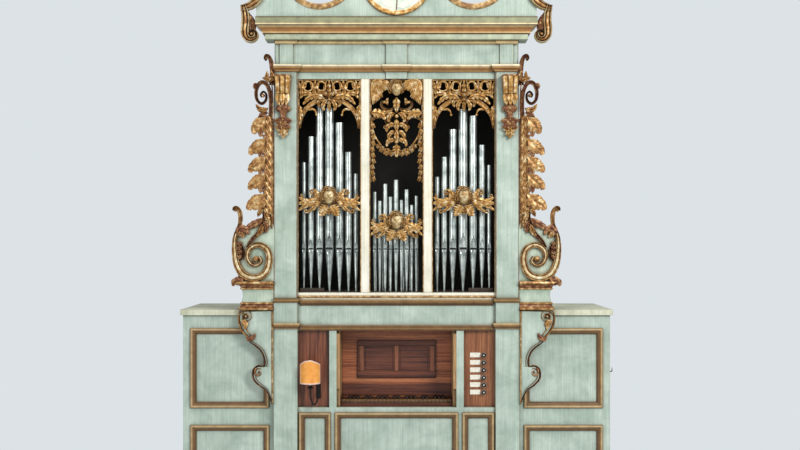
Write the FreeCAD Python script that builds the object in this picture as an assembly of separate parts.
import FreeCAD, Part
import math
import os

from FreeCAD import Vector

# Painted and gilded chamber organ. Millimetres, +Z up, front facing -Y.
# The origin lies on the floor, under the middle of the whole organ.

# ---------------------------------------------------------------- driving sizes
TOWER_WIDTH = 1400.0        # across the two pilasters
CASE_DEPTH = 700.0          # pilaster front to back boards
CHEST_WIDTH = 525.0         # each side chest, beside the tower
CHEST_TOP = 1376.0          # top of a chest below its lid
PILASTER_WIDTH = 134.0
PLINTH_HEIGHT = 110.0
CONSOLE_BOTTOM = 821.0      # underside of the rail below the keyboard
CONSOLE_TOP = 1290.0
BELT_TOP = 1466.0           # top of the moulded belt over the console
SILL_TOP = 1506.0           # bottom of the pipe openings
WINDOW_TOP = 2728.0         # top of the pipe openings
ARCHITRAVE_TOP = 2807.0
FRIEZE_TOP = 2944.0
CORNICE_TOP = 3065.0
ORGAN_HEIGHT = 3600.0
CORNICE_REACH = 94.0        # cornice overhang in front and at the sides
CORNICE_RETURN = 90.0       # length of the cornice's returns along the sides

BOARD = 25.0                # carcass boards
FACE_BOARD = 28.0           # framed front boards
FIT = 0.3                   # gap of a piece that is set into another

FRONT = CORNICE_REACH - (CASE_DEPTH + CORNICE_REACH) / 2.0
BACK = FRONT + CASE_DEPTH
TOWER_HALF = TOWER_WIDTH / 2.0
BAY_HALF = TOWER_HALF - PILASTER_WIDTH      # inner edges of the pilasters
FIELD = FRONT + 20.0                        # face between the pilasters
SIDE_PANEL = FIELD + FACE_BOARD             # face of the walnut panels behind the frame
PILASTER_DEPTH = SIDE_PANEL - FRONT

# ------------------------------------------------------------------- chest sizes
CHEST_SETBACK = 40.0
CHEST_FRONT = FRONT + CHEST_SETBACK
LID_THICKNESS = 32.0
LID_REACH = 15.0
CHEST_STILE = 42.0          # plain wood outside the panel mouldings
CHEST_INNER_STILE = 30.0
LOWER_PANEL = (205.0, 746.0)
UPPER_PANEL = (844.0, 1301.0)
HOOK_HEIGHT = 1050.0
HOOK_DEPTH_PLACE = 60.0
HOOK_ROD = 6.0
HOOK_REACH = 26.0

# ------------------------------------------------------------- mouldings in section
PANEL_SINK = 10.0
PANEL_MOULDING = 34.0
MOULDING_SEAT = 12.0        # width that rests on the frame before the sink

# ------------------------------------------------------------------- base of tower
BASE_CENTER_HALF = 353.0
BASE_SIDE_PANEL = (BASE_CENTER_HALF + 23.0, BAY_HALF - 7.0)
BASE_PANEL_BOTTOM = 170.0

# ------------------------------------------------------------------------ console
POST_INNER = 343.0
POST_WIDTH = 42.0
SIDE_PANEL_LAP = 20.0       # part of a side panel hidden behind the pilaster
SIDE_PANEL_THICKNESS = 16.0
RECESS_DEPTH = 250.0
CHEEK_THICKNESS = 18.0
CHEEK_BOTTOM = 955.0
CHEEK_TOP = 1271.0
WALNUT_BOARD = 18.0
KEY_BED_TOP = 849.0

KEY_COUNT = 27
KEY_PITCH = 23.7
KEY_GAP = 1.2
KEY_TOP = 880.0
KEY_HEAD_DEPTH = 105.0      # key heads behind the pilaster front
SHARP_WIDTH = 11.0
SHARP_RISE = 10.0
SHARP_SETBACK = 38.0
KEY_SLIP_HEIGHT = 13.0
KEY_SLIP_THICKNESS = 12.0
NAME_BOARD_THICKNESS = 10.0
NAME_BOARD_TOP = 955.0

DESK_WIDTH = 463.0
DESK_BOTTOM = 992.0
DESK_TOP = 1214.0
DESK_THICKNESS = 14.0
DESK_TOP_RAIL = 30.0
DESK_BOTTOM_RAIL = 40.0
DESK_STILE = 28.0

# -------------------------------------------------------------------------- stops
STOP_COUNT = 6
STOP_PITCH = 42.6
STOP_TOP_CENTER = 1147.0
STOP_X = BAY_HALF - 66.0    # centre line of the knobs
KNOB_RADIUS = 14.5
KNOB_LENGTH = 20.0
KNOB_CLEARANCE = 6.0        # pushed-in knob stays clear of its panel
ROD_RADIUS = 5.0
ROD_FIT = 0.08
ROD_TAIL = 70.0
LABEL_WIDTH = 59.0
LABEL_HEIGHT = 27.0
LABEL_THICKNESS = 1.5
LABEL_GAP = 4.0

# --------------------------------------------------------------------------- lamp
LAMP_X = 76.0 - BAY_HALF
LAMP_ARM_X = LAMP_X + 42.0
LAMP_ARM_RADIUS = 5.0
LAMP_ARM_TOP = 965.0
LAMP_ARM_BOTTOM = 872.0
LAMP_FRONT = 75.0           # candle axis in front of the lamp panel
CANDLE_RADIUS = 9.0
SHADE_WIDTH = 114.0
SHADE_BOTTOM = 992.0
SHADE_TOP = 1130.0
SHADE_THICKNESS = 2.5
SHADE_RISE = 26.0           # height of the arched top edge

# --------------------------------------------------------------------------- belt
BELT_BOTTOM = 1320.0
PILASTER_TOP = 1302.0       # where the lower pilasters meet their blocks
SILL_REACH = 6.0
BELT_BAND_TOP = 1433.0
PILASTER_BLOCK_BOTTOM = 1333.0
PILASTER_BLOCK_TOP = 1450.0
PILASTER_FOOT = 1477.0
BLOCK_REACH = 6.0

# --------------------------------------------------------------- pipe front openings
MULLION_CENTER = 179.0
MULLION_WIDTH = 52.0
SCREEN_THICKNESS = 16.0
SIDE_SCREEN_HEIGHT = 284.0
CENTER_SCREEN_HEIGHT = 594.0
SIDE_BAND_CENTER = 2060.0
CENTER_BAND_CENTER = 1918.0
BAND_HALF_HEIGHT = 68.0
MASK_RADIUS = 44.0

# -------------------------------------------------------------------------- pipes
PIPE_WALL = 1.5
PIPE_LINE = 92.0            # pipe centres behind the pilaster front
INNER_PIPE_LINE = 165.0
PIPE_MOUTH = 1752.0
INNER_PIPE_MOUTH = 1634.0
PIPE_TIP_RADIUS = 5.0
TOE_BOARD_TOP = 1510.0
TOE_LEDGE = 20.0
LEFT_PIPES = ((27, 2255), (35, 2405), (43, 2582), (50, 2570), (45, 2485), (38, 2315), (27, 2190))
CENTER_PIPES = ((23, 2085), (22, 2033), (27, 2131), (21, 2056), (29, 2154),
                (20, 2038), (26, 2099), (19, 2009), (22, 2062))
RIGHT_PIPES = ((27, 2172), (33, 2287), (43, 2446), (52, 2561), (43, 2524), (36, 2356), (27, 2240))
INNER_PIPES = ((17, 1900), (16, 1880), (18, 1930), (16, 1890), (18, 1930), (16, 1880), (17, 1900))
SIDE_END_CLEARANCE = (16.0, 16.0)
CENTER_END_CLEARANCE = (15.0, 27.0)
INNER_END_CLEARANCE = (24.0, 24.0)
LEFT_RAISED = (0, 1, 2)     # pipes of the left bay that stand on a ledge
RIGHT_RAISED = (4, 5, 6)

# -------------------------------------------------------------------- entablature
FRIEZE_HALF = TOWER_HALF - 8.0
PIER = (BAY_HALF + 24.0, BAY_HALF + 100.0)
PIER_REACH = 10.0
CROWN_EAR = 8.0             # moulding over a pier, wider than the pier
CENTER_BLOCK_HALF = 60.0
CAPITAL_BOTTOM = 2767.0

# -------------------------------------------------------------------------- gable
GABLE_PLANE = 44.0          # gable face in front of the pilasters
GABLE_THICKNESS = 28.0
VALLEY_X = TOWER_HALF - 264.0
VALLEY_Z = 3326.0
VALLEY_RADIUS = 211.0
HORN_X = TOWER_HALF + CORNICE_REACH + 93.0
HORN_Z = 3243.0
HORN_RADIUS = 100.0
HORN_HEAD_X = TOWER_HALF + 60.0
HORN_TOP = 3420.0
CREST_HALF = 92.0
CREST_SHOULDER = 3400.0
MEDALLION_Z = 3278.0
MEDALLION_RADIUS = 200.0
MEDALLION_BAND = 28.0
MEDALLION_RISE = 14.0
DROP_WIDTH = 89.0
DROP_BOTTOM = 2924.0
DROP_DEPTH = 56.0
DROP_PLANE = 80.0

# -------------------------------------------------------------- applied carved work
CORBEL_X = BAY_HALF + 79.0
CORBEL_TOP = 2742.0
CORBEL_BOTTOM = 2382.0
CORBEL_REACH = 84.0
WING_REACH = 235.0
WING_BLOCK_REACH = 200.0
WING_THICKNESS = 30.0
WING_BLOCK_DEPTH = 66.0
WING_PLINTH_BOTTOM = CHEST_TOP + LID_THICKNESS
WING_PLINTH_TOP = 1602.0
WING_TOP = 2878.0
WING_PLANE = 30.0           # block face in front of the pilasters
WING_LEAVES = 5
WING_LEAF_PITCH = 106.0
BRACKET_BOTTOM = 866.0


# ------------------------------------------------------------------ shape helpers
def box(x_span, y_span, z_span):
    """A board with faces square to the axes."""
    corner = Vector(x_span[0], y_span[0], z_span[0])
    return Part.makeBox(x_span[1] - x_span[0], y_span[1] - y_span[0], z_span[1] - z_span[0], corner)


def mirrored(shape):
    """The same shape on the other side of the organ."""
    return shape.mirror(Vector(0, 0, 0), Vector(1, 0, 0))


def pair(shape):
    """A piece of the left side together with its right-hand twin."""
    return Part.makeCompound([shape, mirrored(shape)])


def outline(points, place):
    """A closed wire. A point of two numbers ends a line, one of four an arc through its middle."""
    edges = []
    start = place(*points[0][-2:])
    first = start
    for point in list(points[1:]) + [points[0][-2:]]:
        end = place(*point[-2:])
        if len(point) == 4:
            edges.append(Part.Arc(start, place(*point[:2]), end).toShape())
        elif start.distanceToPoint(end) > 1e-6:
            edges.append(Part.LineSegment(start, end).toShape())
        start = end
    if start.distanceToPoint(first) > 1e-6:
        edges.append(Part.LineSegment(start, first).toShape())
    return Part.Wire(edges)


def cutout(points, front, thickness):
    """A board sawn to an outline of (x, z) points, with its face at front."""
    wire = outline(points, lambda x, z: Vector(x, front, z))
    return Part.Face(wire).extrude(Vector(0, thickness, 0))


def frame_moulding(x_span, z_span, face, section):
    """A mitred moulding round a panel. The section is given as (inset, rise) points."""
    middle = (x_span[0] + x_span[1]) / 2.0
    corners = [(middle, z_span[0]), (x_span[1], z_span[0]), (x_span[1], z_span[1]),
               (x_span[0], z_span[1]), (x_span[0], z_span[0]), (middle, z_span[0])]
    path = Part.makePolygon([Vector(x, face, z) for x, z in corners])
    profile = outline(section, lambda inset, rise: Vector(middle, face - rise, z_span[0] + inset))
    return Part.Wire(path.Edges).makePipeShell([profile], True, False, 1)


def return_moulding(x_span, front, back, section):
    """A mitred moulding along a front and both returns. The section is (reach, height) points."""
    x_left, x_right = x_span
    path = Part.makePolygon([Vector(x_left, back, 0), Vector(x_left, front, 0),
                             Vector(x_right, front, 0), Vector(x_right, back, 0)])
    profile = outline(section, lambda reach, height: Vector(x_left - reach, back, height))
    return Part.Wire(path.Edges).makePipeShell([profile], True, False, 1)


def corner_moulding(x_span, front, back, section):
    """A mitred moulding along a left pilaster's front, returned on its inner side."""
    x_left, x_right = x_span
    path = Part.makePolygon([Vector(x_left, front, 0), Vector(x_right, front, 0), Vector(x_right, back, 0)])
    profile = outline(section, lambda reach, height: Vector(x_left, front - reach, height))
    return Part.Wire(path.Edges).makePipeShell([profile], True, False, 1)


def front_moulding(x_span, face, section):
    """A straight moulding along the front, cut square at its ends."""
    profile = outline(section, lambda reach, height: Vector(x_span[0], face - reach, height))
    return Part.Face(profile).extrude(Vector(x_span[1] - x_span[0], 0, 0))


def rod(start, end, radius):
    """A round rod between two points."""
    axis = end - start
    return Part.makeCylinder(radius, axis.Length, start, axis)


def ovolo(reach, bottom, top):
    """Section of a small cornice moulding: a fillet, a quarter round and a top fillet."""
    rise = top - bottom
    return [(0, bottom), (0.35 * reach, bottom), (0.35 * reach, bottom + 0.2 * rise),
            (0.80 * reach, bottom + 0.36 * rise, 0.88 * reach, bottom + 0.72 * rise),
            (reach, bottom + 0.72 * rise), (reach, top), (0, top)]


def panel_section():
    """Section of the moulding round every framed panel."""
    return [(0, 0), (0, 5), (6, 14, 15, 10), (19, 6), (25, 5, PANEL_MOULDING, -5),
            (PANEL_MOULDING, -PANEL_SINK), (MOULDING_SEAT, -PANEL_SINK), (MOULDING_SEAT, 0)]


def sunk_panel(x_span, z_span, face):
    """The shallow pocket that a panel moulding frames."""
    x_pocket = (x_span[0] + MOULDING_SEAT, x_span[1] - MOULDING_SEAT)
    z_pocket = (z_span[0] + MOULDING_SEAT, z_span[1] - MOULDING_SEAT)
    return box(x_pocket, (face, face + PANEL_SINK), z_pocket)


# ------------------------------------------------------------------- tower carcass
def tower_plinth():
    """Plinth board round the foot of the tower."""
    reach = 12.0
    section = [(0, 0), (reach, 0), (reach, PLINTH_HEIGHT - 14), (reach * 0.4, PLINTH_HEIGHT),
               (0, PLINTH_HEIGHT)]
    return return_moulding((-TOWER_HALF, TOWER_HALF), FRONT, CHEST_FRONT, section)


def lower_pilaster():
    """Left post of the console, from the floor to the belt."""
    x_span = (-TOWER_HALF, -BAY_HALF)
    return box(x_span, (FRONT, FRONT + PILASTER_DEPTH), (0, PILASTER_TOP))


def tower_side():
    """Left side board of the tower, from the floor to the cornice's top board."""
    y_span = (FRONT + PILASTER_DEPTH, BACK - BOARD)
    return box((-TOWER_HALF, -TOWER_HALF + BOARD), y_span, (0, CORNICE_TOP - BOARD))


def tower_back():
    """Back boards of the tower, up to the top board of the cornice."""
    return box((-TOWER_HALF, TOWER_HALF), (BACK - BOARD, BACK), (0, CORNICE_TOP - BOARD))


def tower_roof():
    """Flat board that closes the tower inside the cornice."""
    x_span = (-TOWER_HALF + BOARD, TOWER_HALF - BOARD)
    return box(x_span, (FRONT, BACK - BOARD), (FRIEZE_TOP, FRIEZE_TOP + BOARD))


def lower_front():
    """Green framed front below and round the console, with its openings cut through."""
    board = box((-BAY_HALF, BAY_HALF), (FIELD, FIELD + FACE_BOARD), (0, CONSOLE_TOP))
    recess = box((-POST_INNER, POST_INNER), (FIELD, FIELD + FACE_BOARD), (KEY_BED_TOP, CONSOLE_TOP))
    window = box((-BAY_HALF, -POST_INNER - POST_WIDTH), (FIELD, FIELD + FACE_BOARD),
                 (KEY_BED_TOP, CONSOLE_TOP))
    cuts = [recess, window, mirrored(window)]
    for x_span in base_panel_spans():
        cuts.append(sunk_panel(x_span, (BASE_PANEL_BOTTOM, CONSOLE_BOTTOM), FIELD))
    return board.cut(Part.makeCompound(cuts))


def base_panel_spans():
    """Left, middle and right panels below the console, outside their mouldings."""
    left = (-BASE_SIDE_PANEL[1], -BASE_SIDE_PANEL[0])
    return [left, (-BASE_CENTER_HALF, BASE_CENTER_HALF), BASE_SIDE_PANEL]


def base_mouldings():
    """Mitred mouldings round the panels below the console."""
    section = panel_section()
    z_span = (BASE_PANEL_BOTTOM, CONSOLE_BOTTOM)
    return Part.makeCompound([frame_moulding(span, z_span, FIELD, section) for span in base_panel_spans()])


# ------------------------------------------------------------------------- console
def side_panel_block():
    """Walnut panel left of the keyboard recess, seated between pilaster and post."""
    x_span = (-BAY_HALF - SIDE_PANEL_LAP, -POST_INNER - FIT)
    return box(x_span, (SIDE_PANEL, SIDE_PANEL + SIDE_PANEL_THICKNESS), (KEY_BED_TOP, CONSOLE_TOP))


def stop_heights():
    """Heights of the stop knobs, top one first."""
    return [STOP_TOP_CENTER - STOP_PITCH * index for index in range(STOP_COUNT)]


def stop_panel():
    """Walnut panel right of the recess, bored for the stop rods."""
    panel = mirrored(side_panel_block())
    bores = []
    for height in stop_heights():
        start = Vector(STOP_X, SIDE_PANEL - 1, height)
        bores.append(rod(start, start + Vector(0, SIDE_PANEL_THICKNESS + 2, 0), ROD_RADIUS + ROD_FIT))
    return panel.cut(Part.makeCompound(bores))


def stop_knob(height):
    """Turned knob on its rod, pushed in."""
    collar = SIDE_PANEL - KNOB_CLEARANCE
    tip = collar - KNOB_LENGTH
    section = [(0, 0), (9, 0), (12.5, 1, KNOB_RADIUS, 5), (12, 11), (7, 14), (6.5, KNOB_LENGTH),
               (0, KNOB_LENGTH)]
    wire = outline(section, lambda radius, along: Vector(STOP_X + radius, tip + along, height))
    turned = Part.Face(wire).revolve(Vector(STOP_X, 0, height), Vector(0, 1, 0), 360)
    shank = rod(Vector(STOP_X, collar - 1, height), Vector(STOP_X, SIDE_PANEL + ROD_TAIL, height), ROD_RADIUS)
    return turned.fuse(shank)


def stop_labels():
    """Blank paper labels beside the knobs, glued on the stop panel."""
    right = STOP_X - KNOB_RADIUS - LABEL_GAP
    labels = []
    for height in stop_heights():
        z_span = (height - LABEL_HEIGHT / 2, height + LABEL_HEIGHT / 2)
        labels.append(box((right - LABEL_WIDTH, right), (SIDE_PANEL - LABEL_THICKNESS, SIDE_PANEL), z_span))
    return Part.makeCompound(labels)


def console_cheeks():
    """Boards at both ends of the keyboard recess."""
    cheek = box((-POST_INNER, -POST_INNER + CHEEK_THICKNESS),
                (FIELD + FACE_BOARD, FRONT + RECESS_DEPTH), (KEY_BED_TOP, CONSOLE_TOP))
    strip = box((-POST_INNER, -POST_INNER + CHEEK_THICKNESS), (FIELD, FIELD + FACE_BOARD),
                (CHEEK_BOTTOM, CHEEK_TOP))
    return pair(cheek.fuse(strip))


def key_bed():
    """Board under the keyboard."""
    return box((-POST_INNER, POST_INNER), (FIELD + FACE_BOARD, FRONT + RECESS_DEPTH + WALNUT_BOARD),
               (KEY_BED_TOP - BOARD, KEY_BED_TOP))


def console_back_board():
    """Walnut board that closes the recess behind the keys."""
    return box((-POST_INNER, POST_INNER), (FRONT + RECESS_DEPTH, FRONT + RECESS_DEPTH + WALNUT_BOARD),
               (KEY_BED_TOP, CONSOLE_TOP))


def console_ceiling():
    """Board over the keyboard recess."""
    return box((-POST_INNER, POST_INNER), (FIELD + FACE_BOARD, FRONT + RECESS_DEPTH),
               (CONSOLE_TOP, CONSOLE_TOP + WALNUT_BOARD))


def music_desk():
    """Framed music desk on the back board."""
    half = DESK_WIDTH / 2
    face = FRONT + RECESS_DEPTH - DESK_THICKNESS
    desk = box((-half, half), (face, face + DESK_THICKNESS), (DESK_BOTTOM, DESK_TOP))
    z_span = (DESK_BOTTOM + DESK_BOTTOM_RAIL, DESK_TOP - DESK_TOP_RAIL)
    sink = 6.0
    left = box((-half + DESK_STILE, -DESK_STILE / 2), (face, face + sink), z_span)
    return desk.cut(Part.makeCompound([left, mirrored(left)]))


def key_span():
    """Left and right ends of the row of natural keys."""
    half = KEY_COUNT * KEY_PITCH / 2
    return -half, half


def key_frame():
    """Key blocks at both ends of the keyboard, joined by the slip in front of the keys."""
    left, _ = key_span()
    head = FRONT + KEY_HEAD_DEPTH
    rear = FRONT + RECESS_DEPTH - NAME_BOARD_THICKNESS
    block_top = KEY_TOP + 22
    block = box((-POST_INNER + CHEEK_THICKNESS, left - 1), (head - KEY_SLIP_THICKNESS - 6, rear),
                (KEY_BED_TOP, block_top))
    slip = box((-POST_INNER + CHEEK_THICKNESS, POST_INNER - CHEEK_THICKNESS),
               (head - KEY_SLIP_THICKNESS - 6, head - 6), (KEY_BED_TOP, KEY_BED_TOP + KEY_SLIP_HEIGHT))
    return slip.fuse([block, mirrored(block)])


def name_board():
    """Upright board behind the keys."""
    y_span = (FRONT + RECESS_DEPTH - NAME_BOARD_THICKNESS, FRONT + RECESS_DEPTH)
    return box((-POST_INNER + CHEEK_THICKNESS, POST_INNER - CHEEK_THICKNESS), y_span,
               (KEY_TOP + SHARP_RISE + 2, NAME_BOARD_TOP))


def natural_keys():
    """Row of natural keys, resting on the key bed's rail."""
    left, _ = key_span()
    head = FRONT + KEY_HEAD_DEPTH
    rear = FRONT + RECESS_DEPTH - NAME_BOARD_THICKNESS - 1
    keys = []
    for index in range(KEY_COUNT):
        x_start = left + index * KEY_PITCH + KEY_GAP / 2
        key = box((x_start, x_start + KEY_PITCH - KEY_GAP), (head, rear), (KEY_BED_TOP, KEY_TOP))
        keys.append(key)
    return Part.makeCompound(keys)


def sharp_keys():
    """Raised keys between the naturals, in twos and threes from the short octave up."""
    left, _ = key_span()
    head = FRONT + KEY_HEAD_DEPTH + SHARP_SETBACK
    rear = FRONT + RECESS_DEPTH - NAME_BOARD_THICKNESS - 1
    sharps = []
    for index in sharp_places():
        center = left + index * KEY_PITCH
        x_span = (center - SHARP_WIDTH / 2, center + SHARP_WIDTH / 2)
        sharps.append(box(x_span, (head, rear), (KEY_TOP, KEY_TOP + SHARP_RISE)))
    return Part.makeCompound(sharps)


def sharp_places():
    """Joints between naturals that carry a sharp: three in the short octave, then two and three."""
    octave = (1, 2, 4, 5, 6)
    places = [2, 3, 4]
    for first in range(5, KEY_COUNT - 1, 7):
        places += [first + step for step in octave]
    return places


# ---------------------------------------------------------------------------- lamp
def lamp_bracket():
    """Reading lamp's wall plate, bent arm and candle socket."""
    wall = SIDE_PANEL
    candle_y = wall - LAMP_FRONT
    plate = box((LAMP_ARM_X - 14, LAMP_ARM_X + 14), (wall - 6, wall),
                (LAMP_ARM_BOTTOM + 28, LAMP_ARM_TOP + 8))
    knee = Vector(LAMP_ARM_X, wall - 28, LAMP_ARM_TOP - 20)
    bottom = Vector(LAMP_ARM_X - 12, candle_y + 18, LAMP_ARM_BOTTOM)
    socket = Vector(LAMP_X, candle_y, LAMP_ARM_TOP - 12)
    out = rod(Vector(LAMP_ARM_X, wall - 3, LAMP_ARM_TOP - 20), knee, LAMP_ARM_RADIUS)
    down = rod(knee, bottom, LAMP_ARM_RADIUS)
    up = rod(bottom, socket, LAMP_ARM_RADIUS)
    joints = [Part.makeSphere(LAMP_ARM_RADIUS, point) for point in (knee, bottom)]
    cup = Part.makeCone(6, 14, 16, socket)
    candle = Part.makeCylinder(CANDLE_RADIUS, SHADE_BOTTOM + 60 - socket.z, socket)
    return plate.fuse([out, down, up, cup, candle] + joints)


def lamp_shade():
    """Curved half shield in front of the lamp, open to the wall side."""
    wall = SIDE_PANEL
    axis = Vector(LAMP_X, wall - LAMP_FRONT, 0)
    radius = SHADE_WIDTH / 2
    height = SHADE_TOP - SHADE_BOTTOM
    ring = Part.makeCylinder(radius, height, axis + Vector(0, 0, SHADE_BOTTOM))
    ring = ring.cut(Part.makeCylinder(radius - SHADE_THICKNESS, height, axis + Vector(0, 0, SHADE_BOTTOM)))
    front_half = box((LAMP_X - radius, LAMP_X + radius), (axis.y - radius, axis.y), (SHADE_BOTTOM, SHADE_TOP))
    arch = [(LAMP_X - radius, SHADE_BOTTOM), (LAMP_X + radius, SHADE_BOTTOM),
            (LAMP_X + radius, SHADE_TOP - SHADE_RISE),
            (LAMP_X, SHADE_TOP, LAMP_X - radius, SHADE_TOP - SHADE_RISE)]
    stay = box((LAMP_X - 2, LAMP_X + 2), (axis.y - radius + 1, axis.y - CANDLE_RADIUS + 1),
               (SHADE_BOTTOM + 30, SHADE_BOTTOM + 34))
    shield = ring.common(front_half).common(cutout(arch, axis.y - radius, radius))
    return shield.fuse(stay).cut(Part.makeCylinder(CANDLE_RADIUS, SHADE_TOP, axis))


# ---------------------------------------------------------------------------- belt
def belt_rail():
    """Green belt over the console, with a block on each pilaster."""
    band = box((-BAY_HALF, BAY_HALF), (FIELD, FIELD + FACE_BOARD), (CONSOLE_TOP, BELT_TOP))
    block = box((-TOWER_HALF, -BAY_HALF), (FRONT - BLOCK_REACH, FRONT + PILASTER_DEPTH),
                (PILASTER_TOP, PILASTER_FOOT))
    return band.fuse([block, mirrored(block)])


def belt_mouldings():
    """Gilt mouldings over and under the belt and round the pilaster blocks."""
    pieces = []
    for bottom, top in ((CONSOLE_TOP, BELT_BOTTOM), (BELT_BAND_TOP, BELT_TOP)):
        pieces.append(front_moulding((-BAY_HALF + 14, BAY_HALF - 14), FIELD, ovolo(16, bottom, top)))
    for bottom, top, back in ((PILASTER_TOP, PILASTER_BLOCK_BOTTOM, FIELD),
                              (PILASTER_BLOCK_TOP, PILASTER_FOOT, FIELD - SILL_REACH)):
        ring = corner_moulding((-TOWER_HALF, -BAY_HALF), FRONT - BLOCK_REACH, back, ovolo(14, bottom, top))
        pieces += [ring, mirrored(ring)]
    return Part.makeCompound(pieces)


# --------------------------------------------------------------- pipe front openings
def upper_pilaster():
    """Left pilaster beside the pipes, from the belt to the frieze."""
    return box((-TOWER_HALF, -BAY_HALF), (FRONT, FRONT + PILASTER_DEPTH), (PILASTER_FOOT, ARCHITRAVE_TOP))


def window_frame():
    """Cream sill and the two mullions that divide the pipe front into three bays."""
    sill = box((-BAY_HALF, BAY_HALF), (FIELD - SILL_REACH, FIELD + FACE_BOARD), (BELT_TOP, SILL_TOP))
    mullion = box((-MULLION_CENTER - MULLION_WIDTH / 2, -MULLION_CENTER + MULLION_WIDTH / 2),
                  (FIELD, FIELD + FACE_BOARD), (SILL_TOP, WINDOW_TOP))
    return sill.fuse([mullion, mirrored(mullion)])


def bay_spans():
    """Left, middle and right bay of the pipe front."""
    inner = MULLION_CENTER - MULLION_WIDTH / 2
    outer = MULLION_CENTER + MULLION_WIDTH / 2
    return [(-BAY_HALF, -outer), (-inner, inner), (outer, BAY_HALF)]


def windchest():
    """Wind chest with the toe board that the pipes stand on and its two raised ledges."""
    front = FIELD + FACE_BOARD
    chest = box((-BAY_HALF, BAY_HALF), (front, FRONT + 380), (BELT_TOP - 120, TOE_BOARD_TOP))
    ledges = []
    for span, pipes, raised in ((bay_spans()[0], LEFT_PIPES, LEFT_RAISED),
                                (bay_spans()[2], RIGHT_PIPES, RIGHT_RAISED)):
        places = pipe_places(span, pipes, SIDE_END_CLEARANCE)
        x_start = places[raised[0]] - pipes[raised[0]][0] / 2 - 6
        x_end = places[raised[-1]] + pipes[raised[-1]][0] / 2 + 6
        ledges.append(box((x_start, x_end), (FRONT + PIPE_LINE - 24, FRONT + PIPE_LINE + 24),
                          (TOE_BOARD_TOP, TOE_BOARD_TOP + TOE_LEDGE)))
    return chest.fuse(ledges)


def pipe_places(span, pipes, end_clearance):
    """Centres of a row of pipes, with equal gaps between them."""
    room = span[1] - span[0] - sum(end_clearance) - sum(size for size, _ in pipes)
    gap = room / (len(pipes) - 1)
    places = []
    edge = span[0] + end_clearance[0]
    for size, _ in pipes:
        places.append(edge + size / 2)
        edge += size + gap
    return places


def organ_pipe(x, y, foot, mouth, size, top):
    """One open metal pipe: conical foot, cut mouth and cylindrical body."""
    radius = size / 2.0
    bore = radius - PIPE_WALL
    cone = Part.makeCone(PIPE_TIP_RADIUS, radius, mouth - foot, Vector(x, y, foot))
    inner_cone = Part.makeCone(PIPE_TIP_RADIUS - PIPE_WALL, bore, mouth - foot - 3, Vector(x, y, foot))
    body = Part.makeCylinder(radius, top - mouth, Vector(x, y, mouth))
    inner_body = Part.makeCylinder(bore, top - mouth, Vector(x, y, mouth))
    half_mouth = 0.37 * size
    slot = box((x - half_mouth, x + half_mouth), (y - radius, y - bore * 0.6),
               (mouth + 1, mouth + 0.28 * size))
    return cone.fuse(body).cut(Part.makeCompound([inner_cone, inner_body, slot]))


def pipe_row(span, pipes, end_clearance, raised=()):
    """The front pipes of one bay."""
    row = []
    for index, (x, (size, top)) in enumerate(zip(pipe_places(span, pipes, end_clearance), pipes)):
        foot = TOE_BOARD_TOP + (TOE_LEDGE if index in raised else 0)
        row.append(organ_pipe(x, FRONT + PIPE_LINE, foot, PIPE_MOUTH, size, top))
    return Part.makeCompound(row)


def inner_pipes():
    """Small pipes of a second rank, seen between those of the middle bay."""
    span = bay_spans()[1]
    row = []
    for x, (size, top) in zip(pipe_places(span, INNER_PIPES, INNER_END_CLEARANCE), INNER_PIPES):
        row.append(organ_pipe(x, FRONT + INNER_PIPE_LINE, TOE_BOARD_TOP, INNER_PIPE_MOUTH, size, top))
    return Part.makeCompound(row)


def pipe_screen(span, height, arch_top, arm):
    """Board of a carved screen: pierced by a row of holes over an open arch."""
    x_left = span[0] + FIT
    x_right = span[1] - FIT
    middle = (x_left + x_right) / 2
    bottom = WINDOW_TOP - height
    shape = [(x_left, WINDOW_TOP), (x_right, WINDOW_TOP), (x_right, bottom), (x_right - arm, bottom),
             (middle, WINDOW_TOP - arch_top, x_left + arm, bottom), (x_left, bottom)]
    return cutout(shape, FIELD, SCREEN_THICKNESS)


def pipe_screens():
    """Carved and gilded screens that hang in the heads of the three bays."""
    left, middle, right = bay_spans()
    screens = []
    for span in (left, right):
        holes = screen_holes(span, (-126, -50, 50, 126), 58, 20)
        screens.append(pipe_screen(span, SIDE_SCREEN_HEIGHT, 176, 44).cut(holes))
    hearts = screen_holes(middle, (-78, 78), 310, 34)
    screens.append(pipe_screen(middle, CENTER_SCREEN_HEIGHT, 395, 34).cut(hearts))
    return Part.makeCompound(screens)


def screen_holes(span, shifts, drop, radius):
    """Round holes in a row across a bay, a given drop below the head of the openings."""
    center = (span[0] + span[1]) / 2
    return Part.makeCompound([Part.makeCylinder(radius, SCREEN_THICKNESS,
                                                Vector(center + shift, FIELD, WINDOW_TOP - drop), Vector(0, 1, 0))
                              for shift in shifts])


def mask_band(span, center_z):
    """Carved band in front of a bay's pipes: a winged child's head over two leaves."""
    x_left = span[0] + FIT
    x_right = span[1] - FIT
    middle = (x_left + x_right) / 2
    half = BAND_HALF_HEIGHT
    shape = [(x_left, center_z + 0.5 * half), (middle - 60, center_z + 0.35 * half),
             (middle, center_z + half, middle + 60, center_z + 0.35 * half), (x_right, center_z + 0.5 * half),
             (x_right, center_z - 0.45 * half), (middle + 60, center_z - 0.7 * half),
             (middle, center_z - half, middle - 60, center_z - 0.7 * half), (x_left, center_z - 0.45 * half)]
    band = cutout(shape, FIELD, SCREEN_THICKNESS)
    head = Part.makeSphere(MASK_RADIUS, Vector(middle, FIELD + 4, center_z + 14))
    keep = box((middle - 60, middle + 60), (FIELD - 60, FIELD + SCREEN_THICKNESS),
               (center_z - 60, center_z + 60))
    return band.fuse(head.common(keep))


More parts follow.
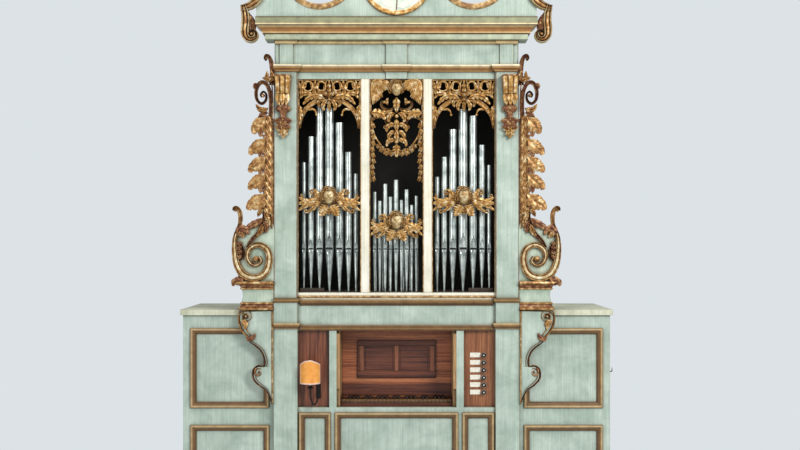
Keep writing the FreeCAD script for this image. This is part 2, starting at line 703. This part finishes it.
def mask_bands():
    """The three carved bands with cherub heads."""
    left, middle, right = bay_spans()
    return Part.makeCompound([mask_band(left, SIDE_BAND_CENTER), mask_band(middle, CENTER_BAND_CENTER),
                              mask_band(right, SIDE_BAND_CENTER)])


# --------------------------------------------------------------------- entablature
def entablature():
    """Architrave strip and frieze with its piers and middle block."""
    face = FRONT + PIER_REACH
    z_span = (ARCHITRAVE_TOP, FRIEZE_TOP)
    strip = box((-BAY_HALF, BAY_HALF), (FIELD, FIELD + FACE_BOARD), (WINDOW_TOP, FRIEZE_TOP))
    frieze = box((-FRIEZE_HALF, FRIEZE_HALF), (face, FRONT + PILASTER_DEPTH), z_span)
    block = box((-CENTER_BLOCK_HALF, CENTER_BLOCK_HALF), (FRONT, face), z_span)
    low_block = box((-CENTER_BLOCK_HALF, CENTER_BLOCK_HALF), (FIELD - PIER_REACH, FIELD),
                    (WINDOW_TOP, ARCHITRAVE_TOP))
    pier = box((-PIER[1], -PIER[0]), (FRONT, face), z_span)
    return strip.fuse([frieze, block, low_block, pier, mirrored(pier)])


def architrave_mouldings():
    """Gilt mouldings below and above the frieze, broken forward over pilasters and middle block."""
    low = ovolo(24, CAPITAL_BOTTOM, ARCHITRAVE_TOP)
    high = ovolo(20, FRIEZE_TOP - 20, FRIEZE_TOP)
    rows = []
    for left_end, ear, face, section in ((-TOWER_HALF, -BAY_HALF, FIELD, low),
                                         (-FRIEZE_HALF, -PIER[0] + CROWN_EAR, FRONT + PIER_REACH, high)):
        over_pier = corner_moulding((left_end, ear), FRONT, face, section)
        run = front_moulding((ear, -CENTER_BLOCK_HALF), face, section)
        over_block = return_moulding((-CENTER_BLOCK_HALF, CENTER_BLOCK_HALF), face - PIER_REACH, face, section)
        rows.append(over_block.fuse([over_pier, run, mirrored(over_pier), mirrored(run)]))
    return Part.makeCompound(rows)


def cornice():
    """Overhanging cornice across the front, with short returns, and its flat top."""
    section = [(0, FRIEZE_TOP), (45, FRIEZE_TOP), (45, 2976), (58, 2976), (64, 2998, 86, 3014), (86, 3020),
               (CORNICE_REACH, 3020), (CORNICE_REACH, CORNICE_TOP), (0, CORNICE_TOP)]
    ring = return_moulding((-TOWER_HALF, TOWER_HALF), FRONT, FRONT + CORNICE_RETURN, section)
    top = box((-TOWER_HALF, TOWER_HALF), (FRONT, BACK), (CORNICE_TOP - BOARD, CORNICE_TOP))
    return ring.fuse(top)


# --------------------------------------------------------------------------- gable
def horn_point(angle):
    """A point of the hollow that is sawn out beside the gable's outer horn."""
    return -HORN_X + HORN_RADIUS * math.cos(angle), HORN_Z + HORN_RADIUS * math.sin(angle)


def horn_start():
    """Angle at which the hollow crosses the end of the cornice."""
    return -math.acos((HORN_X - TOWER_HALF - CORNICE_REACH) / HORN_RADIUS)


def gable_outline():
    """Left half of the gable from its outer foot to the crest, as line and arc points."""
    foot = TOWER_HALF + CORNICE_REACH
    valley_left = -VALLEY_X - VALLEY_RADIUS
    valley_right = -VALLEY_X + VALLEY_RADIUS
    return [(-foot, CORNICE_TOP), horn_point(horn_start()),
            horn_point(0) + horn_point(math.pi / 4),
            (-HORN_HEAD_X, HORN_TOP, valley_left, VALLEY_Z),
            (-VALLEY_X, VALLEY_Z - VALLEY_RADIUS, valley_right, VALLEY_Z),
            (valley_right + 6, CREST_SHOULDER),
            (-170, CREST_SHOULDER + 90, -CREST_HALF, CREST_SHOULDER + 112)]


def gable():
    """Sawn gable board with two round valleys, outer horns and a crest."""
    left = gable_outline()
    ends = [point[-2:] for point in left]
    shape = left + [(0, ORGAN_HEIGHT, -ends[-1][0], ends[-1][1])]
    for index in range(len(left) - 1, 0, -1):
        through = (-left[index][0], left[index][1]) if len(left[index]) == 4 else ()
        shape.append(through + (-ends[index - 1][0], ends[index - 1][1]))
    return cutout(shape, FRONT - GABLE_PLANE, GABLE_THICKNESS)


def gable_medallion():
    """Round painted panel with a gilt band, applied in the middle of the gable."""
    face = FRONT - GABLE_PLANE
    center = Vector(0, face, MEDALLION_Z)
    forward = Vector(0, -1, 0)
    disc = Part.makeCylinder(MEDALLION_RADIUS, MEDALLION_RISE, center, forward)
    field = Part.makeCylinder(MEDALLION_RADIUS - MEDALLION_BAND, MEDALLION_RISE, center + forward * 4, forward)
    return disc.cut(field)


def gable_scrolls():
    """Gilt drop scrolls that hang at both ends of the cornice."""
    inner = -TOWER_HALF - CORNICE_REACH
    outer = inner - DROP_WIDTH
    eye = (inner + outer) / 2
    tip = horn_point(-math.pi / 2)
    start = horn_start()
    shape = [horn_point(start), horn_point((start - math.pi / 2) / 2) + tip,
             (outer, DROP_BOTTOM + 150, outer + 4, DROP_BOTTOM + 60),
             (eye, DROP_BOTTOM, inner - 4, DROP_BOTTOM + 48), (inner - 16, DROP_BOTTOM + 90),
             (inner - 8, CORNICE_TOP - 40, inner, CORNICE_TOP - 30)]
    return pair(cutout(shape, FRONT - DROP_PLANE, DROP_DEPTH))


# ------------------------------------------------------------ applied carved work
def corbels():
    """Carved corbels hanging down the heads of the pilasters."""
    steps = ((CORBEL_TOP, 50, CORBEL_REACH), (2628, 36, 62), (2570, 44, 54), (2520, 34, 40),
             (2450, 30, 34), (CORBEL_BOTTOM, 14, 14))
    profiles = []
    for height, half, reach in steps:
        shape = [(-half, 0), (-half, reach * 0.55), (0, reach, half, reach * 0.55), (half, 0)]
        profiles.append(outline(shape, lambda x, out, z=height: Vector(x - CORBEL_X, FRONT - out, z)))
    left = Part.makeLoft(profiles, True, True)
    return pair(left)


def wing():
    """Carved side wing: volute on a moulded block, leafy stem and curled top."""
    wall = -TOWER_HALF
    tip = wall - WING_REACH
    block = box((wall - WING_BLOCK_REACH, wall), (FRONT - WING_PLANE, FRONT - WING_PLANE + WING_BLOCK_DEPTH),
                (WING_PLINTH_BOTTOM, WING_PLINTH_TOP))
    shape = [(wall, WING_PLINTH_TOP - 1), (tip + 5, WING_PLINTH_TOP - 1), (tip, 1720, tip + 35, 1850),
             (tip + 12, 1900), (tip + 10, 2000, tip + 55, 2029)]
    for index in range(WING_LEAVES):
        leaf = 2029 + WING_LEAF_PITCH * index
        shape.append((wall - 122, leaf + 14, wall - 116, leaf + 62))
        shape.append((wall - 84, leaf + 80))
    shape += [(wall - 92, 2645, wall - 52, 2702), (wall - 66, 2740, wall - 34, 2768),
              (wall - 48, 2840, wall - 22, WING_TOP), (wall - 8, 2806), (wall, 2780)]
    return block.fuse(cutout(shape, FRONT - 8, WING_THICKNESS))


def wing_bracket():
    """Shaped board below a wing, in front of the chest."""
    wall = -TOWER_HALF
    wing_left = wall - WING_BLOCK_REACH
    shape = [(wall, WING_PLINTH_BOTTOM), (wing_left + 4, WING_PLINTH_BOTTOM),
             (wing_left + 10, 1330, wing_left + 64, 1242), (wall - 60, 1190, wall - 14, 1110),
             (wall - 104, 1060, wall - 74, 998), (wall - 40, 930, wall - 4, BRACKET_BOTTOM), (wall, BRACKET_BOTTOM)]
    return cutout(shape, FRONT - 6, CHEST_SETBACK - LID_REACH + 6 - FIT)


# -------------------------------------------------------------------------- chests
def chest_span():
    """Left and right edge of the left chest."""
    return -TOWER_HALF - CHEST_WIDTH, -TOWER_HALF


def chest_panel_span():
    """Left and right edge of the left chest's panel mouldings."""
    x_left, x_right = chest_span()
    return x_left + CHEST_STILE, x_right - CHEST_INNER_STILE


def chest_case():
    """Left chest: framed front, plain side and back, and a floor."""
    x_left, x_right = chest_span()
    body = box((x_left, x_right), (CHEST_FRONT, BACK), (0, CHEST_TOP))
    hollow = box((x_left + BOARD, x_right - BOARD), (CHEST_FRONT + FACE_BOARD, BACK - BOARD), (BOARD, CHEST_TOP))
    sinks = [sunk_panel(chest_panel_span(), z_span, CHEST_FRONT) for z_span in (LOWER_PANEL, UPPER_PANEL)]
    return body.cut(Part.makeCompound([hollow] + sinks))


def chest_mouldings():
    """Mitred mouldings round the chest panels."""
    frames = []
    for z_span in (LOWER_PANEL, UPPER_PANEL):
        frame = frame_moulding(chest_panel_span(), z_span, CHEST_FRONT, panel_section())
        frames += [frame, mirrored(frame)]
    return Part.makeCompound(frames)


def chest_lid():
    """Left chest's lid, overhanging its front and outer side."""
    x_left, x_right = chest_span()
    return box((x_left - LID_REACH, x_right), (CHEST_FRONT - LID_REACH, BACK),
               (CHEST_TOP, CHEST_TOP + LID_THICKNESS))


def side_hook():
    """Iron hook on the right chest's outer side."""
    wall = TOWER_HALF + CHEST_WIDTH
    y = CHEST_FRONT + HOOK_DEPTH_PLACE
    radius = HOOK_ROD / 2
    plate = box((wall, wall + 4), (y - 12, y + 12), (HOOK_HEIGHT - 20, HOOK_HEIGHT + 20))
    arm = rod(Vector(wall, y, HOOK_HEIGHT), Vector(wall + HOOK_REACH - radius, y, HOOK_HEIGHT), radius)
    tip = rod(Vector(wall + HOOK_REACH - radius, y, HOOK_HEIGHT), Vector(wall + HOOK_REACH - radius, y, HOOK_HEIGHT + 16),
              radius)
    elbow = Part.makeSphere(radius, Vector(wall + HOOK_REACH - radius, y, HOOK_HEIGHT))
    return plate.fuse([arm, tip, elbow])


def all_nodes():
    """Every sub-part of the organ by name."""
    left_bay, center_bay, right_bay = bay_spans()
    nodes = {
        "tower_plinth": tower_plinth(),
        "lower_left_pilaster": lower_pilaster(),
        "lower_right_pilaster": mirrored(lower_pilaster()),
        "lower_front": lower_front(),
        "base_mouldings": base_mouldings(),
        "lamp_panel": side_panel_block(),
        "stop_panel": stop_panel(),
        "stop_labels": stop_labels(),
        "console_cheeks": console_cheeks(),
        "key_bed": key_bed(),
        "console_back_board": console_back_board(),
        "console_ceiling": console_ceiling(),
        "music_desk": music_desk(),
        "key_frame": key_frame(),
        "name_board": name_board(),
        "natural_keys": natural_keys(),
        "sharp_keys": sharp_keys(),
        "lamp_bracket": lamp_bracket(),
        "lamp_shade": lamp_shade(),
        "belt_rail": belt_rail(),
        "belt_mouldings": belt_mouldings(),
        "upper_left_pilaster": upper_pilaster(),
        "upper_right_pilaster": mirrored(upper_pilaster()),
        "window_frame": window_frame(),
        "tower_left_side": tower_side(),
        "tower_right_side": mirrored(tower_side()),
        "tower_back": tower_back(),
        "tower_roof": tower_roof(),
        "windchest": windchest(),
        "left_pipes": pipe_row(left_bay, LEFT_PIPES, SIDE_END_CLEARANCE, LEFT_RAISED),
        "center_pipes": pipe_row(center_bay, CENTER_PIPES, CENTER_END_CLEARANCE),
        "right_pipes": pipe_row(right_bay, RIGHT_PIPES, SIDE_END_CLEARANCE, RIGHT_RAISED),
        "inner_pipes": inner_pipes(),
        "pipe_screens": pipe_screens(),
        "mask_bands": mask_bands(),
        "entablature": entablature(),
        "architrave_mouldings": architrave_mouldings(),
        "cornice": cornice(),
        "gable": gable(),
        "gable_medallion": gable_medallion(),
        "gable_scrolls": gable_scrolls(),
        "corbels": corbels(),
        "left_wing": wing(),
        "right_wing": mirrored(wing()),
        "wing_brackets": pair(wing_bracket()),
        "left_chest_case": chest_case(),
        "right_chest_case": mirrored(chest_case()),
        "chest_mouldings": chest_mouldings(),
        "left_chest_lid": chest_lid(),
        "right_chest_lid": mirrored(chest_lid()),
        "side_hook": side_hook(),
    }
    for index, height in enumerate(stop_heights(), start=1):
        nodes["stop_knob_%d" % index] = stop_knob(height)
    return nodes


def main():
    """Write one STEP file for each sub-part."""
    os.makedirs("parts", exist_ok=True)
    for name, shape in all_nodes().items():
        shape.exportStep("parts/%s.step" % name)
        print(name, shape.isValid(), len(shape.Solids), round(shape.Volume / 1e6, 3))


if __name__ == "__main__":
    main()
